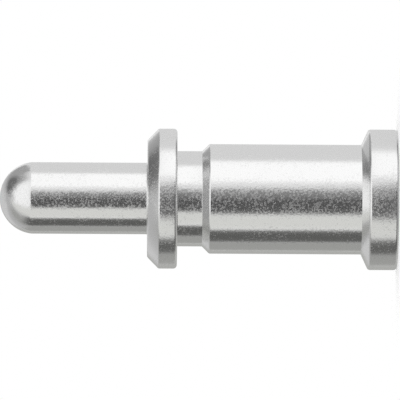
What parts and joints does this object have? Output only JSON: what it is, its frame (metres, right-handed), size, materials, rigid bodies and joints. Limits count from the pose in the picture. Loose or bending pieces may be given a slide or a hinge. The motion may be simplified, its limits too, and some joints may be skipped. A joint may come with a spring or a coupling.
{
  "type": "crimp pin contact",
  "caption": "Turned crimp pin contact with a ball-nosed contact pin, a coned collar, a retention neck and a drilled crimp barrel that ends in a flange.",
  "frame": {"origin": "centre of the rear face, in the plane of the bore's mouth", "axes": "+Z along the contact's axis, from the wire bore towards the pin's nose; X and Y are any two directions across it"},
  "size_m": [0.0118, 0.0118, 0.0333],
  "materials": {
    "silver_plate": "satin"
  },
  "bodies": {
    "root": {"crimp_pin_contact": "silver_plate"}
  },
  "joints": []
}
